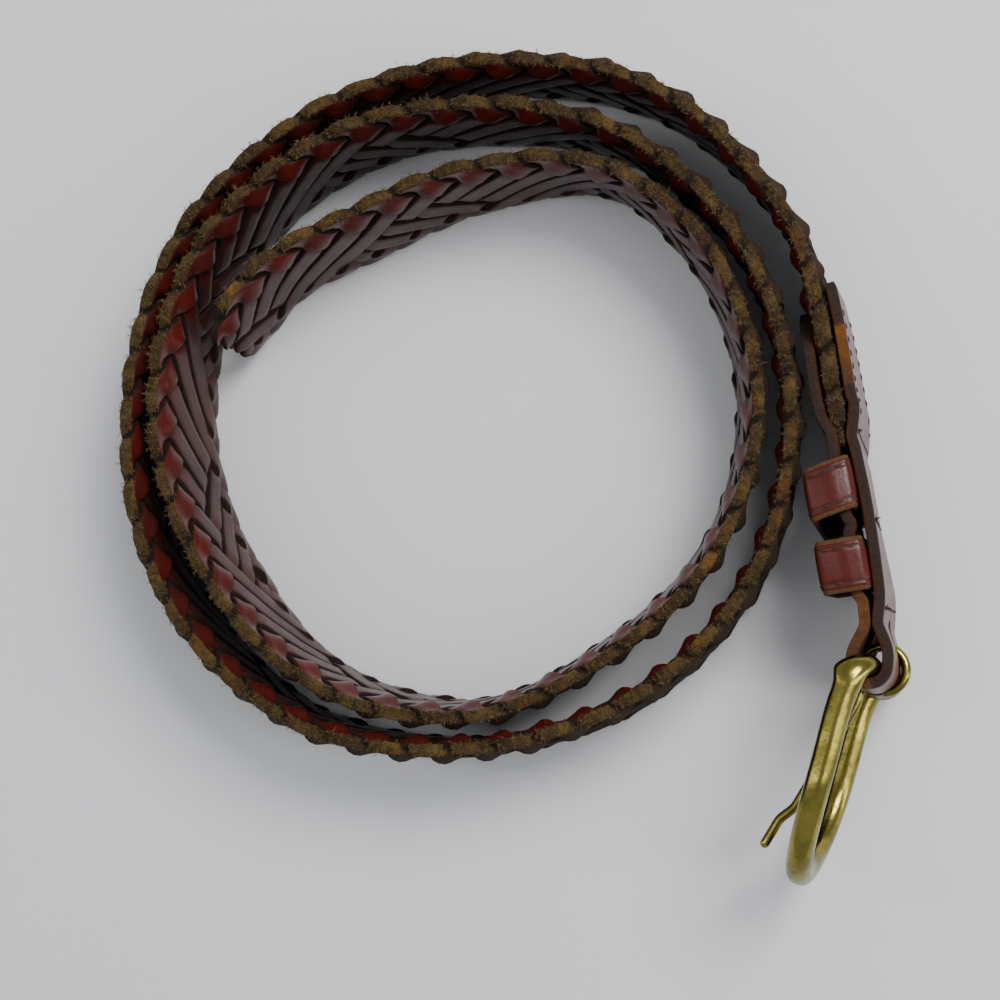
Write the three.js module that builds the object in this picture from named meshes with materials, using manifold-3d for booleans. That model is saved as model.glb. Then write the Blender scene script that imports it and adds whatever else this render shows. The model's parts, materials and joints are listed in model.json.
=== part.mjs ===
import * as THREE from 'three';
import Module from 'manifold-3d';
import { mergeVertices } from 'three/addons/utils/BufferGeometryUtils.js';

// A braided leather belt with a horseshoe buckle, coiled and standing on its long edge.
// Millimetres, +Z up. The belt line starts at the buckle's bar and runs counter-clockwise to the tip.

const wasm = await Module();
wasm.setup();

// Braided band
const BAND_LENGTH = 1076;
const BAND_WIDTH = 32;
const BAND_THICKNESS = 4.2;
const LOBE_PITCH = 9.6;
const LOBE_DEPTH = 1.3;
const LOBE_STAGGER = 2 / 3;
const EDGE_ROUNDING = 1.4;
const EDGE_SHARE = 0.7;
const LOBE_SLANT = 0.2;
const TIP_LENGTH = 13;
const TIP_TAPER = 0.86;
const STEPS_PER_LOBE = 3;

// Coil, measured to the upper edge of its outermost turn
const COIL_RADIUS = 80;

// Plain strap that holds the buckle
const STRAP_WIDTH = 30;
const STRAP_THICKNESS = 2.4;
const STRAP_OUTER_LAP = 28;
const STRAP_INNER_LAP = 24;
const STRAP_POINT = 11;
const STRAP_POINT_TAPER = 0.72;
const STRAP_POINT_CURVE = 1.6;
const STRAP_END_ROUND = 1;
const STRAP_ARRIS = 0.5;
const SEAM_GAP = 0.4;
const SEAM_ROOM = 11;
const LAP_RAMP = 5;

// Keepers, two fixed loops held between the strap's layers
const KEEPER_LENGTH = 11.4;
const KEEPER_WALL = 1.6;
const KEEPER_ROOM = 4.6;
const KEEPER_CORNER = 2;
const KEEPER_FROM_BAR = 17.6;
const KEEPER_SPACING = 4.6;

// Buckle
const FRAME_HEIGHT = 42;
const FRAME_REACH = 48.5;
const FRAME_CORNER = 3.6;
const FRAME_BOW = -2.4;
const FRAME_BOW_AT = 8.5;
const FRAME_OVER_FLOOR = 1;
const BAR_DIAMETER = 4.4;
const LIMB_WIDTH = 5.2;
const LIMB_THICKNESS = 5.4;
const NOSE_WIDTH = 6.2;
const NOSE_ROUND_SHARE = 1.15;
const NOSE_SWELL_SHARE = 0.45;
const PRONG_DIAMETER = 2.1;
const PRONG_REACH = 46;
const PRONG_STEP = -1.5;
const PRONG_TIP_SHARE = 0.6;
const EYE_RADIUS = 3.7;
const EYE_HANG_SHARE = 0.8;

// Clearances and resting angles
const CLEAR = 0.35;
const FLOOR_BITE = 0.36;
const SLOT_REACH = 9;
const SLOT_CLEAR = 0.45;
const FRAME_SWING = -18.7;
const PRONG_SWING = -10.5;
const KEEPER_SKEW = 10;

// One row for every 30 degrees round the coil. outer is the outermost turn's radius as a share of
// COIL_RADIUS. air2 and air3 are the room between a turn and the next one in, as shares of BAND_WIDTH.
// lean1 to lean3 are each turn's outward lean in degrees.
const COIL = [
  { at: 0, outer: 0.99, air2: 0.15, air3: 0.08, lean1: -6, lean2: 0, lean3: 8 },
  { at: 30, outer: 1.0, air2: 0.21, air3: 0.06, lean1: -4, lean2: -2, lean3: 6 },
  { at: 60, outer: 1.005, air2: 0.235, air3: 0.125, lean1: -1, lean2: 0, lean3: 1 },
  { at: 90, outer: 0.956, air2: 0.155, air3: 0.305, lean1: 0, lean2: 3, lean3: 6 },
  { at: 120, outer: 0.945, air2: 0.06, air3: 0.435, lean1: 0, lean2: 4, lean3: 8 },
  { at: 150, outer: 0.967, air2: 0.03, air3: 0.28, lean1: 0, lean2: 6, lean3: 6 },
  { at: 180, outer: 0.975, air2: 0.044, air3: 0.1, lean1: 0, lean2: 9, lean3: 9 },
  { at: 210, outer: 1.006, air2: 0.19, air3: 0.06, lean1: 0, lean2: 7, lean3: 8 },
  { at: 240, outer: 0.996, air2: 0.165, air3: 0.06, lean1: -1, lean2: 3, lean3: 4 },
  { at: 270, outer: 0.933, air2: 0.084, air3: 0.06, lean1: -3, lean2: 1, lean3: 2 },
  { at: 300, outer: 0.91, air2: 0.187, air3: 0.06, lean1: -3, lean2: 5, lean3: 6 },
  { at: 330, outer: 0.9, air2: 0.153, air3: 0.06, lean1: -1, lean2: 6, lean3: 7 },
];

// The strap's way from the bar to the coil: reach as a share of COIL_RADIUS, lift as a share of BAR_LIFT.
const LEAD = [
  { at: -33.3, reach: 1.286, lean: -8, lift: 1 },
  { at: -28.3, reach: 1.228, lean: -7, lift: 0.76 },
  { at: -16.1, reach: 1.09, lean: -4, lift: 0.53 },
  { at: -3.5, reach: 1.003, lean: -5, lift: 0.1 },
];
const BAR_LIFT = (FRAME_HEIGHT - BAND_WIDTH) / 2 + FRAME_OVER_FLOOR;

// Directions in the belt's own axes, and up in the world's.
const TO_BUCKLE = new THREE.Vector3(1, 0, 0);
const OUTWARD = new THREE.Vector3(0, 1, 0);
const UP = new THREE.Vector3(0, 0, 1);
const radians = THREE.MathUtils.degToRad;
const smooth = THREE.MathUtils.smoothstep;

// A row of the belt line: the middle of the belt's width, with the lean carried beside it.
function lineRow(at, radius, lean, lift) {
  const angle = radians(at);
  const middle = radius - BAND_WIDTH / 2 * Math.sin(radians(lean));
  const height = BAND_WIDTH / 2 * Math.cos(radians(lean)) + lift;
  return { lean, point: new THREE.Vector3(middle * Math.cos(angle), middle * Math.sin(angle), height) };
}

function beltRows() {
  const rows = LEAD.map((row) => lineRow(row.at, row.reach * COIL_RADIUS, row.lean, row.lift * BAR_LIFT));
  const first = (row) => row.outer * COIL_RADIUS;
  const second = (row) => first(row) - BAND_THICKNESS - row.air2 * BAND_WIDTH;
  const third = (row) => second(row) - BAND_THICKNESS - row.air3 * BAND_WIDTH;
  COIL.forEach((row) => rows.push(lineRow(row.at, first(row), row.lean1, 0)));
  COIL.forEach((row) => rows.push(lineRow(row.at, second(row), row.lean2, 0)));
  COIL.forEach((row) => rows.push(lineRow(row.at, third(row), row.lean3, 0)));
  return rows;
}

const ROWS = beltRows();
const LINE = new THREE.CatmullRomCurve3(ROWS.map((row) => row.point), false, 'centripetal');
LINE.arcLengthDivisions = ROWS.length * 80;
const LINE_LENGTH = LINE.getLength();

// The belt at a distance from the bar: its middle, the way along, outward, and up across its width.
function beltAt(distance) {
  const share = LINE.getUtoTmapping(THREE.MathUtils.clamp(distance / LINE_LENGTH, 0, 1));
  const row = Math.min(Math.floor(share * (ROWS.length - 1)), ROWS.length - 2);
  const part = share * (ROWS.length - 1) - row;
  const lean = radians(THREE.MathUtils.lerp(ROWS[row].lean, ROWS[row + 1].lean, smooth(part, 0, 1)));
  const along = LINE.getTangent(share);
  const outward = along.clone().cross(UP).normalize();
  const upright = outward.clone().cross(along).normalize();
  const up = upright.multiplyScalar(Math.cos(lean)).addScaledVector(outward, Math.sin(lean));
  return { middle: LINE.getPoint(share), along, up, out: along.clone().cross(up).normalize() };
}

// A closed body through rings of points. Rings run along the body and wind the same way.
function loft(rings, closed = false) {
  const sides = rings[0].length;
  const position = rings.flat().flatMap((point) => point.toArray());
  const index = [];
  const spans = closed ? rings.length : rings.length - 1;
  for (let ring = 0; ring < spans; ring += 1) {
    const here = ring * sides;
    const next = ((ring + 1) % rings.length) * sides;
    for (let side = 0; side < sides; side += 1) {
      const turn = (side + 1) % sides;
      index.push(here + side, next + turn, next + side, here + side, here + turn, next + turn);
    }
  }
  const last = (rings.length - 1) * sides;
  for (let side = 1; side < sides - 1 && !closed; side += 1) {
    index.push(0, side + 1, side, last, last + side, last + side + 1);
  }
  const body = new THREE.BufferGeometry();
  body.setAttribute('position', new THREE.Float32BufferAttribute(position, 3));
  body.setIndex(index);
  return body;
}

function toSolid(geometry) {
  const bare = geometry.clone();
  bare.deleteAttribute('normal');
  bare.deleteAttribute('uv');
  const merged = mergeVertices(bare, 1e-4);
  const vertProperties = new Float32Array(merged.attributes.position.array);
  const triVerts = new Uint32Array(merged.index.array);
  return new wasm.Manifold(new wasm.Mesh({ numProp: 3, vertProperties, triVerts }));
}

function toGeometry(solid) {
  const { vertProperties, triVerts } = solid.getMesh();
  const body = new THREE.BufferGeometry();
  body.setAttribute('position', new THREE.BufferAttribute(vertProperties, 3));
  body.setIndex(new THREE.BufferAttribute(triVerts, 1));
  return body;
}

// What rests on the floor is flattened there.
function flattened(geometry) {
  const span = COIL_RADIUS * 4;
  const depth = BAND_WIDTH;
  const slab = new THREE.BoxGeometry(span, span, depth).translate(0, 0, FLOOR_BITE - depth / 2);
  return toGeometry(toSolid(geometry).subtract(toSolid(slab)));
}

// Braided band

const FAR_KEEPER = KEEPER_FROM_BAR + KEEPER_LENGTH * 1.5 + KEEPER_SPACING;
const BAND_START = FAR_KEEPER + KEEPER_LENGTH / 2 + SEAM_ROOM;

// One lobe's swell, from 0 in the notch to 1 at its crest.
const swell = (phase) => 0.5 + 0.5 * Math.cos(2 * Math.PI * phase);

// The band's section at one step: eight points round it, swollen by the lobes of both edges.
function bandRing(place, phase, half, thick) {
  const point = (across, out) => place.middle.clone().addScaledVector(place.up, across)
    .addScaledVector(place.out, out);
  const edge = (side, shift) => {
    const crest = (lag) => half - LOBE_DEPTH * (1 - swell(phase + shift + lag));
    const bulge = (lag) => thick / 2 * THREE.MathUtils.lerp(EDGE_SHARE, 1, swell(phase + shift + lag));
    return [
      point(side * (crest(LOBE_SLANT) - EDGE_ROUNDING), side * -bulge(LOBE_SLANT)),
      point(side * crest(0), 0),
      point(side * (crest(-LOBE_SLANT) - EDGE_ROUNDING), side * bulge(-LOBE_SLANT)),
    ];
  };
  return [...edge(1, 0), point(0, thick / 2), ...edge(-1, LOBE_STAGGER), point(0, -thick / 2)];
}

function braidBand() {
  const step = LOBE_PITCH / STEPS_PER_LOBE;
  const count = Math.round(BAND_LENGTH / step);
  const rings = [];
  for (let index = 0; index <= count; index += 1) {
    const gone = BAND_LENGTH * index / count;
    const left = Math.max(0, 1 - (BAND_LENGTH - gone) / TIP_LENGTH);
    const narrow = Math.sqrt(1 - TIP_TAPER * left * left);
    const half = BAND_WIDTH / 2 * narrow;
    const thick = BAND_THICKNESS * (1 + narrow) / 2;
    rings.push(bandRing(beltAt(BAND_START + gone), index / STEPS_PER_LOBE, half, thick));
  }
  return flattened(loft(rings));
}

// Plain strap: an outer layer, a fold round the bar and an inner layer

const SEAM = (STRAP_THICKNESS + SEAM_GAP) / 2;
const FOLD = BAR_DIAMETER / 2 + CLEAR + STRAP_THICKNESS / 2;
const LAP = BAND_THICKNESS / 2 + CLEAR + STRAP_THICKNESS / 2;

const KEEPERS = [
  { name: 'keeper_by_buckle', centre: KEEPER_FROM_BAR + KEEPER_LENGTH / 2, skew: 0 },
  { name: 'keeper_by_braid', centre: FAR_KEEPER, skew: KEEPER_SKEW },
];
const KEEPER_SPREAD = KEEPER_WALL / 2 + CLEAR + STRAP_THICKNESS / 2;

// How far a layer stands from the belt line where a thing between from and to pushes it out.
function pushed(distance, from, to, ramp, amount) {
  const rise = smooth(distance, from - ramp, from);
  const fall = 1 - smooth(distance, to, to + ramp);
  return SEAM + (amount - SEAM) * rise * fall;
}

function layerOffset(distance) {
  const pushes = [
    pushed(distance, -LINE_LENGTH, BAR_DIAMETER / 4, SLOT_REACH, FOLD),
    pushed(distance, BAND_START - CLEAR, LINE_LENGTH, LAP_RAMP, LAP),
  ];
  KEEPERS.forEach(({ centre }) => {
    const half = KEEPER_LENGTH / 2 + CLEAR;
    pushes.push(pushed(distance, centre - half, centre + half, KEEPER_SPACING, KEEPER_SPREAD));
  });
  return Math.max(...pushes);
}

function strapStations() {
  const bar = beltAt(0);
  const stations = [];
  const layer = (distance, side, half) => {
    const place = beltAt(distance);
    const centre = place.middle.clone().addScaledVector(place.out, side * layerOffset(distance));
    stations.push({ centre, up: place.up, half });
  };
  const step = STRAP_THICKNESS;
  const half = STRAP_WIDTH / 2;
  const outerEnd = BAND_START + STRAP_OUTER_LAP;
  const innerEnd = BAND_START + STRAP_INNER_LAP;
  const outerSteps = Math.round(outerEnd / step);
  for (let index = 0; index < outerSteps; index += 1) {
    layer(outerEnd * (1 - index / outerSteps), 1, index === 0 ? half - STRAP_END_ROUND : half);
  }
  const turns = 12;
  for (let index = 0; index <= turns; index += 1) {
    const angle = Math.PI * index / turns;
    const centre = bar.middle.clone().addScaledVector(bar.out, FOLD * Math.cos(angle))
      .addScaledVector(bar.along, -FOLD * Math.sin(angle));
    stations.push({ centre, up: bar.up, half });
  }
  const innerSteps = Math.round(innerEnd / step);
  for (let index = 1; index <= innerSteps; index += 1) {
    const distance = innerEnd * index / innerSteps;
    const point = Math.max(0, 1 - (innerEnd - distance) / STRAP_POINT);
    layer(distance, -1, half * (1 - STRAP_POINT_TAPER * point ** STRAP_POINT_CURVE));
  }
  return stations;
}

// The strap's section is a flat rectangle with its four arrises taken off.
function strapRing(stations, index) {
  const { centre, up, half } = stations[index];
  const before = stations[Math.max(index - 1, 0)].centre;
  const after = stations[Math.min(index + 1, stations.length - 1)].centre;
  const out = up.clone().cross(after.clone().sub(before)).normalize();
  const thick = STRAP_THICKNESS / 2;
  const corners = [
    [half, STRAP_ARRIS - thick], [half, thick - STRAP_ARRIS],
    [half - STRAP_ARRIS, thick], [STRAP_ARRIS - half, thick],
    [-half, thick - STRAP_ARRIS], [-half, STRAP_ARRIS - thick],
    [STRAP_ARRIS - half, -thick], [half - STRAP_ARRIS, -thick],
  ];
  return corners.map(([across, away]) => centre.clone().addScaledVector(up, across)
    .addScaledVector(out, away)).reverse();
}

// Local axes at a distance along the belt: X toward the buckle, Y outward, Z up across its width.
function axesAt(distance) {
  const place = beltAt(distance);
  return new THREE.Matrix4().makeBasis(place.along.clone().negate(), place.out, place.up)
    .setPosition(place.middle);
}

// The slot lets the prong's eye through the fold.
function slotCutter() {
  const half = PRONG_DIAMETER / 2 + SLOT_CLEAR;
  const deep = FOLD + STRAP_THICKNESS + EYE_RADIUS;
  const slot = new THREE.Shape();
  slot.moveTo(deep, half);
  slot.lineTo(-SLOT_REACH, half);
  slot.absarc(-SLOT_REACH, 0, half, Math.PI / 2, Math.PI * 1.5, false);
  slot.lineTo(deep, -half);
  slot.closePath();
  const options = { depth: 2 * deep, bevelEnabled: false, curveSegments: 5 };
  const body = new THREE.ExtrudeGeometry(slot, options);
  body.translate(0, 0, -deep).rotateX(Math.PI / 2);
  return body.applyMatrix4(axesAt(0));
}

function buckleStrap() {
  const stations = strapStations();
  const rings = stations.map((station, index) => strapRing(stations, index));
  return toGeometry(toSolid(loft(rings)).subtract(toSolid(slotCutter())));
}

// Keepers

function roundedRectangle(target, low, high, halfHeight, corner) {
  target.moveTo(low + corner, -halfHeight);
  target.lineTo(high - corner, -halfHeight);
  target.absarc(high - corner, corner - halfHeight, corner, -Math.PI / 2, 0, false);
  target.lineTo(high, halfHeight - corner);
  target.absarc(high - corner, halfHeight - corner, corner, 0, Math.PI / 2, false);
  target.lineTo(low + corner, halfHeight);
  target.absarc(low + corner, halfHeight - corner, corner, Math.PI / 2, Math.PI, false);
  target.lineTo(low, corner - halfHeight);
  target.absarc(low + corner, corner - halfHeight, corner, Math.PI, Math.PI * 1.5, false);
  return target;
}

// A keeper's outer wall lies between the strap's layers, and its inner side has room for the belt's tip.
function keeper({ centre, skew }) {
  const high = -KEEPER_WALL / 2;
  const low = high - CLEAR - STRAP_THICKNESS - KEEPER_ROOM;
  const tall = STRAP_WIDTH / 2 + CLEAR;
  const shape = roundedRectangle(new THREE.Shape(), low - KEEPER_WALL, high + KEEPER_WALL,
    tall + KEEPER_WALL, KEEPER_CORNER);
  shape.holes.push(roundedRectangle(new THREE.Path(), low, high, tall, KEEPER_CORNER - KEEPER_WALL));
  const options = { depth: KEEPER_LENGTH, bevelEnabled: false, curveSegments: 4 };
  const body = new THREE.ExtrudeGeometry(shape, options).translate(0, 0, -KEEPER_LENGTH / 2);
  const sideways = new THREE.Matrix4().makeBasis(OUTWARD, UP, TO_BUCKLE);
  const skewed = new THREE.Matrix4().makeShear(0, 0, -Math.tan(radians(skew)), 0, 0, 0);
  return body.applyMatrix4(sideways).applyMatrix4(skewed).applyMatrix4(axesAt(centre));
}

// Buckle frame: a bar, two limbs and a round nose in one closed ring of oval section

function frameLine() {
  const tall = (FRAME_HEIGHT - LIMB_WIDTH) / 2;
  const reach = FRAME_REACH - NOSE_WIDTH / 2;
  const nose = tall * NOSE_ROUND_SHARE;
  const line = new THREE.Path();
  line.moveTo(0, 0);
  line.lineTo(0, tall - FRAME_CORNER);
  line.absarc(FRAME_CORNER, tall - FRAME_CORNER, FRAME_CORNER, Math.PI, Math.PI / 2, true);
  line.lineTo(reach - nose, tall);
  line.absellipse(reach - nose, 0, nose, tall, Math.PI / 2, -Math.PI / 2, true);
  line.lineTo(FRAME_CORNER, -tall);
  line.absarc(FRAME_CORNER, FRAME_CORNER - tall, FRAME_CORNER, -Math.PI / 2, -Math.PI, true);
  line.lineTo(0, 0);
  return line;
}

// The limbs leave the bar with a bend toward the coil, deepest at FRAME_BOW_AT, and run out straight.
function frameRings() {
  const steps = 72;
  const sides = 10;
  const { lerp } = THREE.MathUtils;
  const line = frameLine();
  return Array.from({ length: steps }, (unused, step) => {
    const share = step / steps;
    const at = line.getPointAt(share);
    const way = line.getTangentAt(share);
    const limb = smooth(at.x, BAR_DIAMETER / 8, LIMB_WIDTH);
    const nose = smooth(at.x, FRAME_REACH * NOSE_SWELL_SHARE, FRAME_REACH - NOSE_WIDTH / 2);
    const wide = lerp(lerp(BAR_DIAMETER, LIMB_WIDTH, limb), NOSE_WIDTH, nose) / 2;
    const thick = lerp(BAR_DIAMETER, LIMB_THICKNESS, limb) / 2;
    const bow = FRAME_BOW * at.x / FRAME_BOW_AT * Math.exp(1 - at.x / FRAME_BOW_AT);
    return Array.from({ length: sides }, (unusedToo, side) => {
      const angle = 2 * Math.PI * side / sides;
      const away = wide * Math.cos(angle);
      return new THREE.Vector3(at.x - way.y * away, bow + thick * Math.sin(angle), at.y + way.x * away);
    }).reverse();
  });
}

// The buckle's own axes: X from the bar toward the nose, Y outward, Z up along the bar.
function buckleMatrix(swing) {
  return axesAt(0).multiply(new THREE.Matrix4().makeRotationZ(radians(swing)));
}

function buckleFrame() {
  return loft(frameRings(), true);
}

// Prong: an eye round the bar and a wire with a step near its tip

// The wire's way, as shares of PRONG_REACH and PRONG_STEP.
const PRONG_WAY = [
  { reach: 0.35, step: 0 },
  { reach: 0.7, step: 0 },
  { reach: 0.76, step: 0.4 },
  { reach: 0.82, step: 1 },
];

// The eye hangs on the bar, so its centre lies off the bar's axis by what its hole is wider.
const EYE_SHIFT = -(EYE_RADIUS - PRONG_DIAMETER / 2 - BAR_DIAMETER / 2 - CLEAR) * EYE_HANG_SHARE;

function prongWire() {
  const wire = PRONG_DIAMETER / 2;
  const way = PRONG_WAY.map((row) => new THREE.Vector3(row.reach * PRONG_REACH, row.step * PRONG_STEP, 0));
  const start = new THREE.Vector3(EYE_SHIFT + EYE_RADIUS, 0, 0);
  const end = new THREE.Vector3(PRONG_REACH - wire, PRONG_STEP, 0);
  const line = new THREE.CatmullRomCurve3([start, ...way, end], false, 'centripetal');
  const steps = 26;
  const sides = 8;
  const rings = Array.from({ length: steps + 1 }, (unused, step) => {
    const at = line.getPointAt(step / steps);
    const ahead = line.getTangentAt(step / steps);
    const radius = step === steps ? wire * PRONG_TIP_SHARE : wire;
    return Array.from({ length: sides }, (unusedToo, side) => {
      const angle = 2 * Math.PI * side / sides;
      const away = radius * Math.cos(angle);
      return new THREE.Vector3(at.x - ahead.y * away, at.y + ahead.x * away, radius * Math.sin(angle));
    });
  });
  return loft(rings);
}

function prong() {
  const eye = new THREE.TorusGeometry(EYE_RADIUS, PRONG_DIAMETER / 2, 8, 22).translate(EYE_SHIFT, 0, 0);
  return toGeometry(toSolid(eye).add(toSolid(prongWire())));
}

// Assembly

const LEATHER = { color: 0x5a2420, roughness: 0.55, metalness: 0 };
const STRAP_LEATHER = { color: 0x5b2a25, roughness: 0.5, metalness: 0 };
const KEEPER_LEATHER = { color: 0x8a352a, roughness: 0.35, metalness: 0 };
const BRASS = { color: 0x8f8240, roughness: 0.28, metalness: 1 };

function piece(name, geometry, finish) {
  const mesh = new THREE.Mesh(geometry, new THREE.MeshStandardMaterial(finish));
  mesh.name = name;
  return mesh;
}

const belt = new THREE.Group();
belt.add(piece('braid_band', braidBand(), LEATHER));
belt.add(piece('buckle_strap', buckleStrap(), STRAP_LEATHER));
KEEPERS.forEach((each) => belt.add(piece(each.name, keeper(each), KEEPER_LEATHER)));
belt.add(piece('buckle_frame', buckleFrame().applyMatrix4(buckleMatrix(FRAME_SWING)), BRASS));
belt.add(piece('prong', prong().applyMatrix4(buckleMatrix(FRAME_SWING + PRONG_SWING)), BRASS));

// The origin is the middle of the whole belt's footprint, on the floor.
const extent = new THREE.Box3().setFromObject(belt);
belt.position.set(-(extent.min.x + extent.max.x) / 2, -(extent.min.y + extent.max.y) / 2, -extent.min.z);

export default belt;
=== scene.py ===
import json
import math

import bmesh
import bpy
import numpy as np
from mathutils import Matrix, Vector


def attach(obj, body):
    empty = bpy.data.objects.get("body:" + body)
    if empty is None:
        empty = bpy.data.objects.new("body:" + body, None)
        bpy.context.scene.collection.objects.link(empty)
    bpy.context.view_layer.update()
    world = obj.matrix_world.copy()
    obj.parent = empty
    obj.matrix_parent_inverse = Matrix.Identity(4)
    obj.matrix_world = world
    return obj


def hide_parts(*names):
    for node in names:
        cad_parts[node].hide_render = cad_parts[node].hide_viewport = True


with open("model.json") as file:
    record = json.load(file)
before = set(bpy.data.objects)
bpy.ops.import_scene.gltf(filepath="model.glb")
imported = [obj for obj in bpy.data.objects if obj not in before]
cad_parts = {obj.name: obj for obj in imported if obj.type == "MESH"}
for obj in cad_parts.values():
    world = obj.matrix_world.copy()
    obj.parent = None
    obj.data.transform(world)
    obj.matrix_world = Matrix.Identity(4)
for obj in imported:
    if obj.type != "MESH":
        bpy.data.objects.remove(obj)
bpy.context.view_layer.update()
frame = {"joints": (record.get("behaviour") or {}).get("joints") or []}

# Sizes in metres, angles in degrees, and shares of another size. The belt line and the sections use
# the construction model's sizes. The strands, fibres and stitches, the wider slot, the eye ring, the
# shoulder, the keepers' crown and bevels and the outer layer's gentler rises are only here.
MM = 0.001
BAND_LENGTH = 1076 * MM
BAND_WIDTH = 32 * MM
BAND_THICKNESS = 4.2 * MM
LOBE_PITCH = 9.6 * MM
TIP_LENGTH = 13 * MM
TIP_TAPER = 0.7
COIL_RADIUS = 80 * MM
STRAP_WIDTH = 30 * MM
STRAP_THICKNESS = 2.4 * MM
STRAP_OUTER_LAP = 28 * MM
STRAP_INNER_LAP = 24 * MM
STRAP_POINT = 11 * MM
STRAP_POINT_TAPER = 0.72
STRAP_POINT_CURVE = 1.6
STRAP_END_ROUND = 1 * MM
SEAM_GAP = 0.1 * MM
SEAM_SPREAD = 2 * MM
SEAM_ROOM = 11 * MM
LAP_RAMP = 8 * MM
LAYER_EASE = 1.9
STRAP_ARRIS = 0.4 * MM
STRAP_STEP = 0.7 * MM
FOLD_STEPS = 30
SHARP_BEND = 55
KEEPER_LENGTH = 11.4 * MM
KEEPER_WALL = 1.6 * MM
KEEPER_ROOM = 4.6 * MM
KEEPER_CORNER = 2 * MM
KEEPER_FROM_BAR = 17.6 * MM
KEEPER_SPACING = 4.6 * MM
KEEPER_SKEW = 10
KEEPER_CROWN = 0.5 * MM
KEEPER_BEVEL = 0.34 * MM
BEVEL_FROM = 1.25 * MM
BEVEL_TO = 0.75 * MM
KEEPER_ARRIS = 0.5 * MM
KEEPER_PILLOW = 0.12 * MM
KEEPER_STEP = 1.2 * MM
GROOVE_WIDTH = 0.34 * MM
GROOVE_DEPTH = 0.2 * MM
FRAME_HEIGHT = 42 * MM
FRAME_REACH = 48.5 * MM
FRAME_CORNER = 3.6 * MM
FRAME_BOW = -2.4 * MM
FRAME_BOW_AT = 8.5 * MM
FRAME_OVER_FLOOR = 1 * MM
LEAST_HEIGHT = 0.03 * MM
BAR_DIAMETER = 4.4 * MM
SHOULDER = 2.2 * MM
SHOULDER_AT = 2.2 * MM
SHOULDER_SPREAD = 2.6 * MM
SHOULDER_RISE = 1.6 * MM
LIMB_WIDTH = 5.2 * MM
LIMB_THICKNESS = 5.4 * MM
NOSE_WIDTH = 6.2 * MM
NOSE_ROUND_SHARE = 1.15
NOSE_SWELL_SHARE = 0.45
FRAME_RINGS = 320
FRAME_SIDES = 36
FRAME_SQUARENESS = 2.25
PRONG_DIAMETER = 2.1 * MM
PRONG_REACH = 46 * MM
PRONG_STEP = -1.5 * MM
PRONG_LINE = ((0.35, 0), (0.55, 0), (0.74, 0), (0.82, PRONG_STEP), (0.9, PRONG_STEP))
EYE_RADIUS = 4.95 * MM
EYE_BACK = 1.1 * MM
EYE_HANG = 1 * MM
EYE_FROM = 28
EYE_TO = 312
PRONG_RINGS = 220
PRONG_SIDES = 20
CLEAR = 0.35 * MM
SLOT_REACH = 9 * MM
SLOT_WIDTH = 4.6 * MM
FRAME_SWING = -18.7
PRONG_SWING = -10.5

# One row for every 30 degrees round the coil, as in the construction model: the outermost turn's radius
# as a share of COIL_RADIUS, the room to the next two turns as shares of BAND_WIDTH, each turn's lean.
COIL = [
    dict(at=0, outer=0.99, air2=0.15, air3=0.08, lean1=-6, lean2=0, lean3=8),
    dict(at=30, outer=1.0, air2=0.21, air3=0.06, lean1=-4, lean2=-2, lean3=6),
    dict(at=60, outer=1.005, air2=0.235, air3=0.125, lean1=-1, lean2=0, lean3=1),
    dict(at=90, outer=0.956, air2=0.155, air3=0.305, lean1=0, lean2=3, lean3=6),
    dict(at=120, outer=0.945, air2=0.06, air3=0.435, lean1=0, lean2=4, lean3=8),
    dict(at=150, outer=0.967, air2=0.03, air3=0.28, lean1=0, lean2=6, lean3=6),
    dict(at=180, outer=0.975, air2=0.044, air3=0.1, lean1=0, lean2=9, lean3=9),
    dict(at=210, outer=1.006, air2=0.19, air3=0.06, lean1=0, lean2=7, lean3=8),
    dict(at=240, outer=0.996, air2=0.165, air3=0.06, lean1=-1, lean2=3, lean3=4),
    dict(at=270, outer=0.933, air2=0.084, air3=0.06, lean1=-3, lean2=1, lean3=2),
    dict(at=300, outer=0.91, air2=0.187, air3=0.06, lean1=-3, lean2=5, lean3=6),
    dict(at=330, outer=0.9, air2=0.153, air3=0.06, lean1=-1, lean2=6, lean3=7),
]
# Rows from the buckle's bar to the coil: the reach as a share of COIL_RADIUS, the lean, and the lift
# as a share of BAR_LIFT.
LEAD = [
    dict(at=-33.3, reach=1.286, lean=-8, lift=1),
    dict(at=-28.3, reach=1.228, lean=-7, lift=0.76),
    dict(at=-16.1, reach=1.09, lean=-4, lift=0.53),
    dict(at=-3.5, reach=1.003, lean=-5, lift=0.1),
]
BAR_LIFT = (FRAME_HEIGHT - BAND_WIDTH) / 2 + FRAME_OVER_FLOOR

# Braid: the strands, their turns at the edges (lobes) and the line where the bars meet (spine)
STRANDS = 8
STRAND_WIDTH = 5.4 * MM
STRAND_SLIM = 4.3 * MM
STRAND_FILL = 0.96
STRAND_THICKNESS = 2.25 * MM
STRAND_ARRIS = 0.55 * MM
STRAND_STEP = 0.9 * MM
STRAND_SAG = 1.5 * MM
TURN_SHARPNESS = 0.988
LOBE_TILT = 0.85
LOBE_SWELL = 0.22
LOBE_SPREAD = 0.5
LOBE_STRAY = 0.22 * MM
LAP_SWELL = 0.3
SPINE_MIDDLE = 0.6
SPINE_SWAY = 0.19
SPINE_PERIOD = 6
BURIED_START = 9 * MM
STRAND_DRIFT = 0.25 * MM
DRIFT_SPAN = 23 * MM
TURN_FROM = 0.66
TURN_TO = 0.97
LUMP = 0.07 * MM
LUMPS_FROM = 11 * MM
LUMPS_TO = 14 * MM
BLUNT_END = 2.2 * MM
BARE_FROM = 0.85
BARE_TO = 0.95
FIBRES = 15000
FIBRE_ABOVE = 0.885
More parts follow.
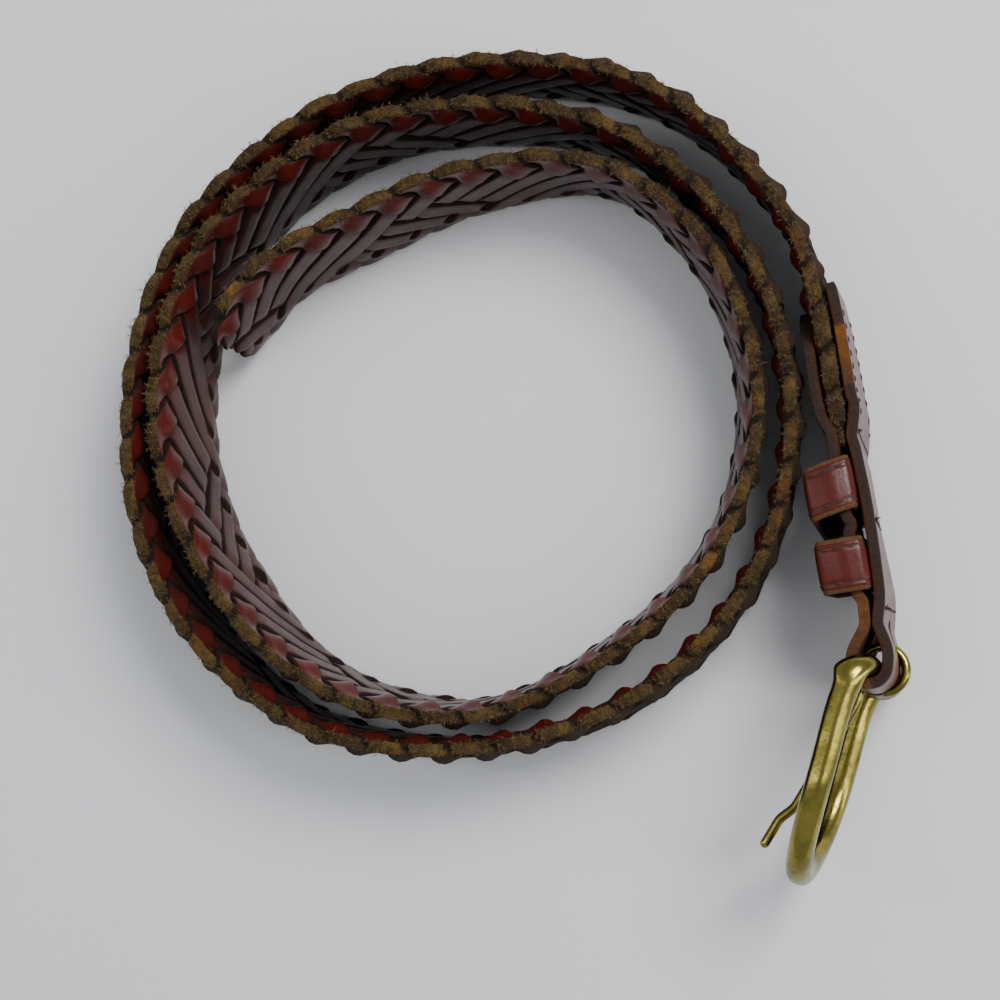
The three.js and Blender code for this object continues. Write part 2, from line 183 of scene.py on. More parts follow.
FIBRE_SCATTER = 0.28 * MM
FIBRE_SUNK = 0.15 * MM

rng = np.random.default_rng(7)


def unit(vectors):
    return vectors / np.linalg.norm(vectors, axis=-1, keepdims=True)


def smooth(value, low, high):
    """A soft step from 0 at low to 1 at high."""
    share = np.clip((value - low) / (high - low), 0, 1)
    return share * share * (3 - 2 * share)


def lengths_along(points):
    """How far along the line of points each of them lies."""
    return np.concatenate([[0], np.cumsum(np.linalg.norm(np.diff(points, axis=0), axis=1))])


# Belt line


def line_row(at, radius, lean, lift):
    angle = math.radians(at)
    middle = radius - BAND_WIDTH / 2 * math.sin(math.radians(lean))
    height = BAND_WIDTH / 2 * math.cos(math.radians(lean)) + lift
    return (middle * math.cos(angle), middle * math.sin(angle), height, lean)


def belt_rows():
    rows = [line_row(r["at"], r["reach"] * COIL_RADIUS, r["lean"], r["lift"] * BAR_LIFT) for r in LEAD]
    first = {r["at"]: r["outer"] * COIL_RADIUS for r in COIL}
    second = {r["at"]: first[r["at"]] - BAND_THICKNESS - r["air2"] * BAND_WIDTH for r in COIL}
    third = {r["at"]: second[r["at"]] - BAND_THICKNESS - r["air3"] * BAND_WIDTH for r in COIL}
    for turn, lean in ((first, "lean1"), (second, "lean2"), (third, "lean3")):
        rows += [line_row(r["at"], turn[r["at"]], r[lean], 0) for r in COIL]
    return np.array(rows)


ROWS = belt_rows()
CONTROL = ROWS[:, :3]
LEANS = ROWS[:, 3]


def line_at(share):
    """Points and directions of the centripetal curve through the rows, at parameters from 0 to 1."""
    spans = len(CONTROL) - 1
    place = np.clip(share, 0, 1) * spans
    left = np.minimum(place.astype(int), spans - 1)
    part = (place - left)[:, None]
    wide = np.vstack([2 * CONTROL[0] - CONTROL[1], CONTROL, 2 * CONTROL[-1] - CONTROL[-2]])
    a, b, c, d = (wide[left + step] for step in range(4))
    ab, bc, cd = (np.sqrt(np.linalg.norm(q - p, axis=1))[:, None] for p, q in ((a, b), (b, c), (c, d)))
    leave = ((b - a) / ab - (c - a) / (ab + bc) + (c - b) / bc) * bc
    arrive = ((c - b) / bc - (d - b) / (bc + cd) + (d - c) / cd) * bc
    square = 3 * (c - b) - 2 * leave - arrive
    cube = 2 * (b - c) + leave + arrive
    point = b + part * (leave + part * (square + part * cube))
    way = leave + part * (2 * square + part * 3 * cube)
    return point, unit(way)


SHARES = np.linspace(0, 1, 12001)
LENGTHS = lengths_along(line_at(SHARES)[0])
LINE_LENGTH = LENGTHS[-1]
BAR_POINT = np.array(frame["joints"][0]["pos_m"])
OFFSET = BAR_POINT - CONTROL[0]


def belt_at(distance):
    """The belt at distances from the bar: its middle, the way along, outward, and up across its width."""
    share = np.interp(np.atleast_1d(distance), LENGTHS, SHARES)
    middle, along = line_at(share)
    row = np.minimum((share * (len(ROWS) - 1)).astype(int), len(ROWS) - 2)
    part = smooth(share * (len(ROWS) - 1) - row, 0, 1)
    lean = np.radians(LEANS[row] + (LEANS[row + 1] - LEANS[row]) * part)[:, None]
    outward = unit(np.cross(along, (0, 0, 1)))
    upright = unit(np.cross(outward, along))
    up = upright * np.cos(lean) + outward * np.sin(lean)
    out = unit(np.cross(along, up))
    return middle + OFFSET, along, up, out


def spot_at(distance):
    """What belt_at gives, for a single distance."""
    return [part[0] for part in belt_at(distance)]


def laid(flat):
    """Points given as distance from the bar, height over the belt's middle, and depth toward the coil."""
    middle, _, up, out = belt_at(flat[:, 0])
    return middle + up * flat[:, 1:2] - out * flat[:, 2:3]


def local_axes(distance):
    """Local axes at a distance from the bar: X toward the buckle, Y outward, Z up across the width."""
    middle, along, up, out = spot_at(distance)
    return Matrix(((-along[0], out[0], up[0], middle[0]), (-along[1], out[1], up[1], middle[1]),
                   (-along[2], out[2], up[2], middle[2]), (0, 0, 0, 1)))


def moved(points, matrix):
    return points @ np.array(matrix)[:3, :3].T + np.array(matrix)[:3, 3]


# Mesh making


def new_object(name, points, faces, marks=None):
    """A closed mesh with its marks; points that would sink into the floor rest on it."""
    points = np.array(points, float)
    points[:, 2] = np.maximum(points[:, 2], LEAST_HEIGHT)
    mesh = bpy.data.meshes.new(name)
    mesh.from_pydata([tuple(point) for point in points], [], faces)
    for mark, values in (marks or {}).items():
        layer = mesh.attributes.new(mark, "FLOAT", "POINT")
        layer.data.foreach_set("value", np.asarray(values, np.float32))
    work = bmesh.new()
    work.from_mesh(mesh)
    bmesh.ops.recalc_face_normals(work, faces=work.faces)
    if work.calc_volume(signed=True) < 0:
        bmesh.ops.reverse_faces(work, faces=work.faces)
    work.to_mesh(mesh)
    work.free()
    mesh.polygons.foreach_set("use_smooth", [True] * len(mesh.polygons))
    piece = bpy.data.objects.new(name, mesh)
    bpy.context.scene.collection.objects.link(piece)
    return piece


def tube_faces(rings, sides, closed_path=False):
    """Faces over rings of points, each ring closed, with one flat cap at both ends of an open path."""
    faces = []
    for ring in range(rings if closed_path else rings - 1):
        here = ring * sides
        there = (ring + 1) % rings * sides
        for side in range(sides):
            turn = (side + 1) % sides
            faces.append((here + side, here + turn, there + turn, there + side))
    if not closed_path:
        last = (rings - 1) * sides
        faces.append(tuple(range(sides - 1, -1, -1)))
        faces.append(tuple(range(last, last + sides)))
    return faces


def rounded_section(width, thick, radius, corner_steps=3, across=2):
    """Points round a rounded rectangle, with marks for its cut sides and for its lower face."""
    points = []
    half, rise = width / 2, thick / 2
    for turn, (cx, cy) in enumerate(((1, 1), (-1, 1), (-1, -1), (1, -1))):
        centre = np.array((cx * (half - radius), cy * (rise - radius)))
        for step in range(corner_steps):
            angle = math.pi / 2 * (turn + step / (corner_steps - 1))
            points.append(centre + radius * np.array((math.cos(angle), math.sin(angle))))
        extra = across if turn % 2 == 0 else 1
        following = ((-1, 1), (-1, -1), (1, -1), (1, 1))[turn]
        target = np.array((following[0] * (half - radius), following[1] * (rise - radius)))
        push = np.array(((0, 1), (-1, 0), (0, -1), (1, 0))[turn]) * radius
        for step in range(1, extra + 1):
            share = step / (extra + 1)
            points.append(centre * (1 - share) + target * share + push)
    points = np.array(points)
    cut = smooth(np.abs(points[:, 0]), half - radius, half - radius * 0.35)
    under = smooth(-points[:, 1], -rise * 0.2, rise * 0.6)
    return points, cut, under


# Braid


def narrowing(distance):
    """The band's width toward its tip, as a share of its full width."""
    left = np.clip(1 - (BAND_LENGTH - distance) / TIP_LENGTH, 0, 1)
    return np.sqrt(1 - TIP_TAPER * left * left)


FAR_KEEPER = KEEPER_FROM_BAR + KEEPER_LENGTH * 1.5 + KEEPER_SPACING
BAND_START = FAR_KEEPER + KEEPER_LENGTH / 2 + SEAM_ROOM
PERIOD = STRANDS * LOBE_PITCH
ROW_STEP = PERIOD / (2 * STRANDS)


def spine(distance):
    """Where the braid's two fields of bars meet, as a share of the width from the top."""
    return SPINE_MIDDLE + SPINE_SWAY * np.sin(2 * np.pi * distance / (SPINE_PERIOD * LOBE_PITCH))


def crossings(strand):
    """Where a strand crosses the others, and whether it lies over (1) or under (-1) them there."""
    events = []
    for turn in range(-2, int(BAND_LENGTH / PERIOD) + 3):
        top = (strand + turn * STRANDS) * LOBE_PITCH
        for row in range(-STRANDS, STRANDS):
            where = top + row * ROW_STEP
            level = abs(row)
            if level in (0, STRANDS):
                events.append((where, 0))
                continue
            falling_over = level / STRANDS < spine(where)
            if level == 1:
                falling_over = False
            if level == STRANDS - 1:
                falling_over = True
            events.append((where, 1 if falling_over == (row > 0) else -1))
    return np.array(events, float)


def strand_path(strand):
    """A strand's middle as distance, height and depth, its roll, how far it lies in a turn, its width."""
    count = int(round((BAND_LENGTH + BURIED_START) / STRAND_STEP))
    gone = np.linspace(-BURIED_START, BAND_LENGTH, count + 1)
    angle = 2 * np.pi * (gone / LOBE_PITCH - strand) / STRANDS
    swing = np.arcsin(TURN_SHARPNESS * np.cos(angle)) / math.asin(TURN_SHARPNESS)
    reach = (BAND_WIDTH - STRAND_WIDTH) / 2
    drift = STRAND_DRIFT * np.sin(gone / DRIFT_SPAN + strand * 1.7)
    height = swing * reach + (drift - STRAND_SAG) * (1 - swing * swing)
    slope = np.abs(np.gradient(height, gone))
    height = height * narrowing(gone)
    events = crossings(strand)
    before = np.clip(np.searchsorted(events[:, 0], gone, side="right") - 1, 0, len(events) - 2)
    part = (gone - events[before, 0]) / (events[before + 1, 0] - events[before, 0])
    over = events[before, 1] + (events[before + 1, 1] - events[before, 1]) * smooth(part, 0.08, 0.92)
    turn = smooth(np.abs(swing), TURN_FROM, TURN_TO)
    upper = turn * (swing > 0)
    knots = np.arange(-LOBE_PITCH * 2, BAND_LENGTH + LOBE_PITCH * 2, LOBE_PITCH * 1.5)
    rise, push = (np.interp(gone, knots, rng.normal(0, LOBE_STRAY, len(knots))) for _ in range(2))
    height = height + rise * (1 - turn * 0.4)
    layer = (BAND_THICKNESS - STRAND_THICKNESS) / 2 * (1 + LOBE_SPREAD * upper)
    emerging = 0.25 + 0.75 * smooth(gone, -BURIED_START, 4 * MM)
    depth = push * 0.6 + over * layer * (0.35 + 0.65 * narrowing(gone)) * emerging
    spacing = LOBE_PITCH * slope / np.sqrt(1 + slope * slope)
    width = np.clip(spacing * STRAND_FILL, STRAND_SLIM, STRAND_WIDTH)
    width = width + (STRAND_WIDTH - width) * turn
    return np.stack([gone, height, depth], 1), over * (upper + 0.45 * (upper - turn)), turn, width


def braid_strand(strand):
    """One strand from end to end, laid along the belt."""
    path, roll, turn, width = strand_path(strand)
    gone = path[:, 0]
    way = unit(np.gradient(path, axis=0))
    face = np.stack([np.zeros(len(path)), LOBE_TILT * roll, np.ones(len(path))], 1)
    face = unit(face - way * np.sum(face * way, 1, keepdims=True))
    side = np.cross(face, way)
    section, cut, under = rounded_section(STRAND_WIDTH, STRAND_THICKNESS, STRAND_ARRIS)
    wobble = 1 + 0.03 * np.sin(gone / (9.1 * MM) + strand * 2.3) + 0.02 * np.sin(gone / (4.7 * MM) + strand)
    ends = np.minimum(gone + BURIED_START, BAND_LENGTH - gone)
    blunt = 0.55 + 0.45 * smooth(ends, 0, BLUNT_END)
    wide = width / STRAND_WIDTH * wobble * (0.45 + 0.55 * narrowing(gone)) * blunt
    lapped = 1 - smooth(gone, STRAP_INNER_LAP, STRAP_INNER_LAP + LOBE_PITCH)
    emerging = 0.6 + 0.4 * smooth(gone, -BURIED_START, 0)
    thick = (1 + LOBE_SWELL * turn) * (1 + LAP_SWELL * lapped) * blunt
    thick = thick * (0.7 + 0.3 * narrowing(gone)) * emerging
    rings = (path[:, None, :] + side[:, None, :] * (section[None, :, 0:1] * wide[:, None, None])
             + face[:, None, :] * (section[None, :, 1:2] * thick[:, None, None]))
    flat = rings.reshape(-1, 3)
    lumps = rng.normal(0, LUMP, flat.shape)
    cuts = np.tile(cut, len(path))
    at_edge = smooth(np.abs(flat[:, 1]), LUMPS_FROM, LUMPS_TO)
    flat = flat + lumps * (0.15 + 0.85 * cuts * at_edge)[:, None]
    share = flat[:, 1] / (BAND_WIDTH / 2)
    flat[:, 0] += BAND_START
    marks = {
        "cut": cuts,
        "under": np.tile(under, len(path)),
        "height": share,
        "rim": np.maximum(smooth(share, BARE_FROM, BARE_TO), 0.5 * smooth(-share, 0.88, 0.99)),
    }
    return new_object(f"braid_strand_{strand + 1}", laid(flat), tube_faces(len(path), len(section)), marks)


def vertex_values(layer, kind, parts):
    """What one layer of a mesh says for each vertex, in this many parts."""
    values = np.zeros(len(layer) * parts, np.float32)
    layer.foreach_get(kind, values)
    return values.reshape(-1, parts)


def fuzz_on(strands, count):
    """Loose leather fibres on the raw upper lobes, each a thin closed spike."""
    points, normals = [], []
    for piece in strands:
        mesh = piece.data
        facing = vertex_values(mesh.vertices, "normal", 3)
        cut = vertex_values(mesh.attributes["cut"].data, "value", 1)[:, 0]
        height = vertex_values(mesh.attributes["height"].data, "value", 1)[:, 0]
        chosen = (cut > 0.5) & (height > FIBRE_ABOVE) & (facing[:, 2] > 0.1)
        points.append(vertex_values(mesh.vertices, "co", 3)[chosen])
        normals.append(facing[chosen])
    points, normals = np.vstack(points), np.vstack(normals)
    pick = rng.integers(0, len(points), count)
    base = points[pick] + rng.normal(0, FIBRE_SCATTER, (count, 3))
    way = unit(normals[pick] + rng.normal(0, 0.75, (count, 3)))
    base -= way * FIBRE_SUNK
    length = (0.5 + 1.2 * rng.random(count) ** 2)[:, None] * MM
    width = (0.045 + 0.045 * rng.random(count))[:, None] * MM
    across = unit(np.cross(way, rng.normal(0, 1, (count, 3))))
    other = np.cross(way, across)
    bend = unit(way + rng.normal(0, 0.5, (count, 3)))
    outward = [across * math.cos(a) + other * math.sin(a) for a in (0, 2.094, 4.189)]
    corners = [base + width * side for side in outward]
    middle = [base + way * length * 0.5 + 0.7 * width * side for side in outward]
    tip = base + way * length * 0.5 + bend * length * 0.5
    rings = np.stack([*corners, *middle, tip], 1)
    faces = []
    for fibre in range(count):
        low = fibre * rings.shape[1]
        faces.append((low + 2, low + 1, low))
        for side in range(3):
            turn = (side + 1) % 3
            faces.append((low + side, low + turn, low + 3 + turn, low + 3 + side))
            faces.append((low + 3 + side, low + 3 + turn, low + 6))
    return new_object("braid_edge_fuzz", rings.reshape(-1, 3), faces)


# Plain strap

SEAM = (STRAP_THICKNESS + SEAM_GAP) / 2
FOLD = BAR_DIAMETER / 2 + CLEAR + STRAP_THICKNESS / 2
LAP = BAND_THICKNESS / 2 + CLEAR + STRAP_THICKNESS / 2
KEEPER_SPREAD = KEEPER_WALL / 2 + CLEAR + STRAP_THICKNESS / 2
KEEPERS = [
    dict(name="keeper_by_buckle", centre=KEEPER_FROM_BAR + KEEPER_LENGTH / 2, skew=0),
    dict(name="keeper_by_braid", centre=FAR_KEEPER, skew=KEEPER_SKEW),
]


def pushed(distance, start, end, ramp, amount):
    rise = smooth(distance, start - ramp, start)
    fall = 1 - smooth(distance, end, end + ramp)
    return SEAM + (amount - SEAM) * rise * fall


def layer_offset(distance, side):
    """How far a layer lies from the belt's line; the outer one (side 1) rises and falls more gently."""
    ease = LAYER_EASE if side > 0 else 1
    pushes = [
        pushed(distance, -LINE_LENGTH, BAR_DIAMETER / 4, SLOT_REACH, FOLD),
        pushed(distance, BAND_START - CLEAR, LINE_LENGTH, LAP_RAMP * (1 + ease) / 2, LAP),
        pushed(distance, FAR_KEEPER, LINE_LENGTH, KEEPER_SPACING, SEAM_SPREAD),
    ]
    for keeper in KEEPERS:
        half = KEEPER_LENGTH / 2 + CLEAR
        start, end = keeper["centre"] - half, keeper["centre"] + half
        pushes.append(pushed(distance, start, end, KEEPER_SPACING * 0.55 * ease * ease, KEEPER_SPREAD))
    return max(pushes)


def strap_stations():
    """Centres, up directions, half widths and distances of the strap's sections, from end to end."""
    rows = []

    def layer(distance, side, half):
        middle, _, up, out = spot_at(distance)
        rows.append((middle + out * side * layer_offset(distance, side), up, half, distance, side))

    half = STRAP_WIDTH / 2
    outer_end = BAND_START + STRAP_OUTER_LAP
    inner_end = BAND_START + STRAP_INNER_LAP
    outer_steps = round(outer_end / STRAP_STEP)
    for index in range(outer_steps):
        distance = outer_end * (1 - index / outer_steps)
        close = 1 - min(1, (outer_end - distance) / (STRAP_END_ROUND * 2))
        layer(distance, 1, half - STRAP_END_ROUND * (1 - math.sqrt(1 - close * close)))
    middle, along, up, out = spot_at(0.0)
    for index in range(FOLD_STEPS + 1):
        angle = math.pi * index / FOLD_STEPS
        centre = middle + out * FOLD * math.cos(angle) - along * FOLD * math.sin(angle)
        rows.append((centre, up, half, -FOLD * math.sin(angle), math.cos(angle)))
    inner_steps = round(inner_end / STRAP_STEP)
    for index in range(1, inner_steps + 1):
        distance = inner_end * index / inner_steps
        point = max(0.0, 1 - (inner_end - distance) / STRAP_POINT)
        layer(distance, -1, half * (1 - STRAP_POINT_TAPER * point ** STRAP_POINT_CURVE))
    return rows


def slot_cutter():
    half = SLOT_WIDTH / 2
    deep = FOLD + STRAP_THICKNESS + EYE_RADIUS
    outline = [(deep, half), (-SLOT_REACH, half)]
    outline += [(-SLOT_REACH - half * math.sin(a), half * math.cos(a)) for a in np.linspace(0.2, 2.94, 9)]
    outline += [(-SLOT_REACH, -half), (deep, -half)]
    count = len(outline)
    points = np.array([(x, side * deep, z) for side in (-1, 1) for x, z in outline])
    faces = [tuple(range(count)), tuple(range(2 * count - 1, count - 1, -1))]
    faces += [(i, (i + 1) % count, (i + 1) % count + count, i + count) for i in range(count)]
    marks = {"cut": np.ones(2 * count), "under": np.zeros(2 * count), "rim": np.zeros(2 * count)}
    return new_object("slot_cutter", moved(points, local_axes(0.0)), faces, marks)


def cut_away(piece, cutter):
    cut = piece.modifiers.new("cut", "BOOLEAN")
    cut.operation = "DIFFERENCE"
    cut.object = cutter
    cut.solver = "EXACT"
    view = bpy.context.evaluated_depsgraph_get()
    mesh = bpy.data.meshes.new_from_object(piece.evaluated_get(view))
    piece.modifiers.clear()
    piece.data = mesh
    bpy.data.objects.remove(cutter)


def sharpen(piece, degrees):
    """Edges that bend more than this stay sharp in the shading."""
    work = bmesh.new()
    work.from_mesh(piece.data)
    for edge in work.edges:
        if len(edge.link_faces) == 2 and edge.calc_face_angle(0) > math.radians(degrees):
            edge.smooth = False
    for face in work.faces:
        face.smooth = True
    work.to_mesh(piece.data)
    work.free()


def buckle_strap():
    stations = strap_stations()
    centres = np.array([row[0] for row in stations])
    ups = np.array([row[1] for row in stations])
    halves = np.array([row[2] for row in stations])
    ahead = np.vstack([centres[1:], centres[-1:]]) - np.vstack([centres[:1], centres[:-1]])
    outs = unit(np.cross(ups, ahead))
    full, cut, under = rounded_section(STRAP_WIDTH, STRAP_THICKNESS, STRAP_ARRIS, 4, 14)
    count = len(stations)
    across = full[None, :, 0] * (halves / (STRAP_WIDTH / 2))[:, None]
    away = np.repeat(full[None, :, 1], count, 0)
    ends = np.array([min(index, count - 1 - index) for index in range(count)])
    away = away * (0.72 + 0.28 * smooth(ends, 0, 2))[:, None]
    points = centres[:, None] + ups[:, None] * across[..., None] + outs[:, None] * away[..., None]
    end_mark = np.repeat(1 - smooth(ends, 0, 1.5), len(full))
    gone = np.array([row[3] for row in stations])
    side = np.array([row[4] for row in stations])
    lapped = smooth(gone, BAND_START + 4 * MM, BAND_START + 7 * MM)
    lapped = lapped * (1 - smooth(gone, BAND_START + 16 * MM, BAND_START + 21 * MM)) * (side > 0)
    by_bar = (1 - smooth(gone, 15 * MM, 19 * MM)) * smooth(-side, -0.6, 0.4)
    marks = {
        "cut": np.maximum(np.tile(cut, count), end_mark),
        "under": np.tile(under, count),
        "rim": np.repeat(np.maximum(lapped, by_bar), len(full)) * np.tile(cut, count),
    }
    piece = new_object("strap", points.reshape(-1, 3), tube_faces(count, len(full)), marks)
    cut_away(piece, slot_cutter())
    sharpen(piece, SHARP_BEND)
    return piece


# Keepers


def keeper_loop(low, high, half, corner, steps):
    """Points round the middle of a keeper's wall, with the outward direction at each."""
    rows = []
    corners = [(high - corner, half - corner, 0), (low + corner, half - corner, 90),
               (low + corner, corner - half, 180), (high - corner, corner - half, 270)]
    for index, (y, z, start) in enumerate(corners):
        for step in range(steps + 1):
            angle = math.radians(start + 90 * step / steps)
            facing = np.array((0, math.cos(angle), math.sin(angle)))
            rows.append((np.array((0, y, z)) + corner * facing, facing))
        next_y, next_z, _ = corners[(index + 1) % 4]
        facing = np.array((0, math.cos(math.radians(start + 90)), math.sin(math.radians(start + 90))))
        here = np.array((0, y, z)) + corner * facing
        there = np.array((0, next_y, next_z)) + corner * facing
        span = max(2, round(np.linalg.norm(there - here) / KEEPER_STEP))
        for step in range(1, span):
            share = step / span
            crown = KEEPER_CROWN * 4 * share * (1 - share) * abs(facing[2])
            rows.append((here + (there - here) * share + facing * crown, facing))
    return rows


def keeper_frame(keeper):
    skewed = Matrix.Identity(4)
    skewed[0][1] = -math.tan(math.radians(keeper["skew"]))
    return local_axes(keeper["centre"]) @ skewed


def keeper_sizes():
    high = -KEEPER_WALL / 2
    low = high - CLEAR - STRAP_THICKNESS - KEEPER_ROOM
    tall = STRAP_WIDTH / 2 + CLEAR
    return low, high, tall


def make_keeper(keeper):
    low, high, tall = keeper_sizes()
    half_wall = KEEPER_WALL / 2
    loop = keeper_loop(low - half_wall, high + half_wall, tall + half_wall, KEEPER_CORNER - half_wall, 6)
    section, cut, under = rounded_section(KEEPER_LENGTH, KEEPER_WALL, KEEPER_ARRIS, 4, 26)
    groove = np.exp(-((np.abs(section[:, 0]) - (KEEPER_LENGTH / 2 - STITCH_INSET)) / GROOVE_WIDTH) ** 2)
    crown = KEEPER_PILLOW * (1 - (2 * section[:, 0] / KEEPER_LENGTH) ** 2)
    rim = smooth(np.abs(section[:, 0]), KEEPER_LENGTH / 2 - BEVEL_FROM, KEEPER_LENGTH / 2 - BEVEL_TO)
    lift = np.where(section[:, 1] > 0, crown - GROOVE_DEPTH * groove - KEEPER_BEVEL * rim, 0)
    rows = []
    for place, facing in loop:
        out = facing[None, :] * (section[:, 1] + lift)[:, None]
        rows.append(place + out + np.array((1, 0, 0)) * section[:, 0:1])
    points = moved(np.vstack(rows), keeper_frame(keeper))
    count = len(loop)
    marks = {"cut": np.tile(cut, count), "under": np.tile(under, count),
             "groove": np.tile(groove * (section[:, 1] > 0), count),
             "rim": np.tile(rim * (section[:, 1] > 0), count)}
    faces = tube_faces(count, len(section), closed_path=True)
    return new_object(keeper["name"] + "_leather", points, faces, marks)


# Stitches, each a short fat thread lying in its hole at both ends

STITCH_INSET = 2 * MM
STITCH_LENGTH = 2.1 * MM
STITCH_PITCH = 2.9 * MM
THREAD = 0.62 * MM
STITCH_RISE = 0.3
STITCH_SINK = 0.55
STITCH_RINGS = 9
STITCH_SIDES = 8
KEEPER_STITCH_SUNK = 0.16 * MM
STRAP_STITCH_SUNK = 0.12 * MM
SEAM_ENDS = 6
END_RINGS = 6
END_SIDES = 6


def stitch_rings(start, end, normal):
    """Rings of one stitch from start to end, standing proud along normal."""
    start, end, normal = (np.asarray(v, float) for v in (start, end, normal))
    way = unit(end - start)
    side = np.cross(way, normal)
    rings = []
    for share in np.linspace(0, 1, STITCH_RINGS):
        bump = math.sin(math.pi * share) ** 0.5
        proud = STITCH_RISE * bump - STITCH_SINK * (1 - bump)
        centre = start + (end - start) * share + normal * THREAD * proud
        radius = THREAD / 2 * (0.55 + 0.45 * bump)
        rings.append([centre + radius * (side * math.cos(a) + normal * 0.8 * math.sin(a))
                      for a in np.arange(STITCH_SIDES) * 2 * math.pi / STITCH_SIDES])
    return np.array(rings).reshape(-1, 3)


def many_tubes(name, tubes, rings, sides):
    """One piece from many short tubes, each with this many rings and sides."""
    faces = []
    for index in range(len(tubes)):
        base = index * rings * sides
        faces += [tuple(base + corner for corner in face) for face in tube_faces(rings, sides)]
    return new_object(name, np.vstack(tubes), faces)


def stitched(name, stitches):
    """One piece from many stitches, each given as start, end and normal."""
    return many_tubes(name, [stitch_rings(*stitch) for stitch in stitches], STITCH_RINGS, STITCH_SIDES)


def keeper_stitches(keeper):
    low, high, tall = keeper_sizes()
    loop = keeper_loop(low - KEEPER_WALL, high + KEEPER_WALL, tall + KEEPER_WALL, KEEPER_CORNER, 12)
    places = np.array([place for place, _ in loop])
    normals = np.array([facing for _, facing in loop])
    matrix = keeper_frame(keeper)
    ring = lengths_along(places)
    stitches = []
    for edge in (-1, 1):
        count = int(ring[-1] / STITCH_PITCH)
        for index in range(count):
            start = ring[-1] * (index + 0.3 * (edge > 0)) / count
            ends = [start, start + STITCH_LENGTH]
            spots = [np.array([np.interp(e, ring, places[:, axis]) for axis in range(3)]) for e in ends]
            facing = unit(np.array([np.interp(np.mean(ends), ring, normals[:, axis]) for axis in range(3)]))
            shift = np.array((edge * (KEEPER_LENGTH / 2 - STITCH_INSET), 0, 0))
            spots = [spot + shift - facing * KEEPER_STITCH_SUNK for spot in spots]
            world = moved(np.array(spots), matrix)
            turn = np.array(matrix)[:3, :3] @ facing
            stitches.append((world[0], world[1], unit(turn)))
    return stitched(keeper["name"] + "_stitches", stitches)


def strap_stitches():
    """Rows along both faces of the lap, and rows across the strap where its layers are pinched."""
    stitches = []
    surface = STRAP_THICKNESS / 2 - STRAP_STITCH_SUNK
    for side, lap in ((1, STRAP_OUTER_LAP), (-1, STRAP_INNER_LAP)):
        reach = lap - (3 * MM if side > 0 else STRAP_POINT * 0.9)
        for level in (-1, 1):
            height = level * (STRAP_WIDTH / 2 - 2.6 * MM)
            for start in np.arange(BAND_START - 3 * MM, BAND_START + reach - STITCH_PITCH, STITCH_PITCH):
                stitches.append(layer_stitch((start, height), (start + STITCH_LENGTH, height), side, surface))
    for middle in SEAM_PLACES:
        for side in (-1, 1):
            for height in np.arange(-STRAP_WIDTH / 2 + 2 * MM, STRAP_WIDTH / 2 - 3 * MM, STITCH_PITCH):
                start, end = (middle, height), (middle, height + STITCH_LENGTH)
                stitches.append(layer_stitch(start, end, side, surface))
    return stitched("strap_stitches", stitches)


def layer_stitch(start, end, side, surface):
    spots = []
    for distance, height in (start, end):
        middle, _, up, out = spot_at(distance)
        spots.append(middle + up * height + out * side * (layer_offset(distance, side) + surface))
    _, _, _, out = spot_at((start[0] + end[0]) / 2)
    return spots[0], spots[1], out * side


SEAM_PLACES = (
    KEEPER_FROM_BAR - KEEPER_SPACING,
    (KEEPERS[0]["centre"] + KEEPERS[1]["centre"]) / 2,
    FAR_KEEPER + KEEPER_LENGTH / 2 + KEEPER_SPACING,
)


def thread_ends():
    """The knotted, frayed thread ends at the top of each seam, on the strap's outer face."""
    tubes = []
    for distance in SEAM_PLACES:
        middle, along, up, out = spot_at(distance)
        surface = layer_offset(distance, 1) + STRAP_THICKNESS / 2
        root = middle + up * (STRAP_WIDTH / 2 - 2.2 * MM) + out * surface
        for _ in range(SEAM_ENDS):
            way = unit(out + up * rng.normal(0.2, 0.6) + along * rng.normal(0, 0.8))
            bend = unit(way + rng.normal(0, 0.9, 3))
            length = (0.5 + 1.3 * rng.random() ** 2) * MM
            side = unit(np.cross(way, up + 0.1))
            other = np.cross(way, side)
            rings = []
            for share in np.linspace(0, 1, END_RINGS):
                centre = root + way * length * share + (bend - way) * length * share * share * 0.6
                radius = (0.34 - 0.24 * share) * MM
                rings.append([centre + radius * (side * math.cos(a) + other * math.sin(a))
                              for a in np.arange(END_SIDES) * 2 * math.pi / END_SIDES])
            tubes.append(np.array(rings).reshape(-1, 3))
    return many_tubes("seam_thread_ends", tubes, END_RINGS, END_SIDES)


# Buckle


def buckle_axes(swing):
    return local_axes(0.0) @ Matrix.Rotation(math.radians(swing), 4, "Z")


def frame_outline():
    """Points round the frame in its own plane, from the bar's middle upward and back, evenly spaced."""
    tall = (FRAME_HEIGHT - LIMB_WIDTH) / 2
    reach = FRAME_REACH - NOSE_WIDTH / 2
    nose = tall * NOSE_ROUND_SHARE
    corner = FRAME_CORNER
    line = [(0, 0), (0, tall - corner)]
    line += [(corner - corner * math.cos(a), tall - corner + corner * math.sin(a))
             for a in np.linspace(0, math.pi / 2, 24)]
    line += [(reach - nose + nose * math.sin(a), tall * math.cos(a)) for a in np.linspace(0, math.pi / 2, 60)]
    upper = np.array(line)
    lower = upper[::-1] * (1, -1)
    whole = np.vstack([upper, lower[1:]])
    gone = lengths_along(whole)
    even = np.linspace(0, gone[-1], FRAME_RINGS + 1)[:-1]
    return np.stack([np.interp(even, gone, whole[:, axis]) for axis in (0, 1)], 1)


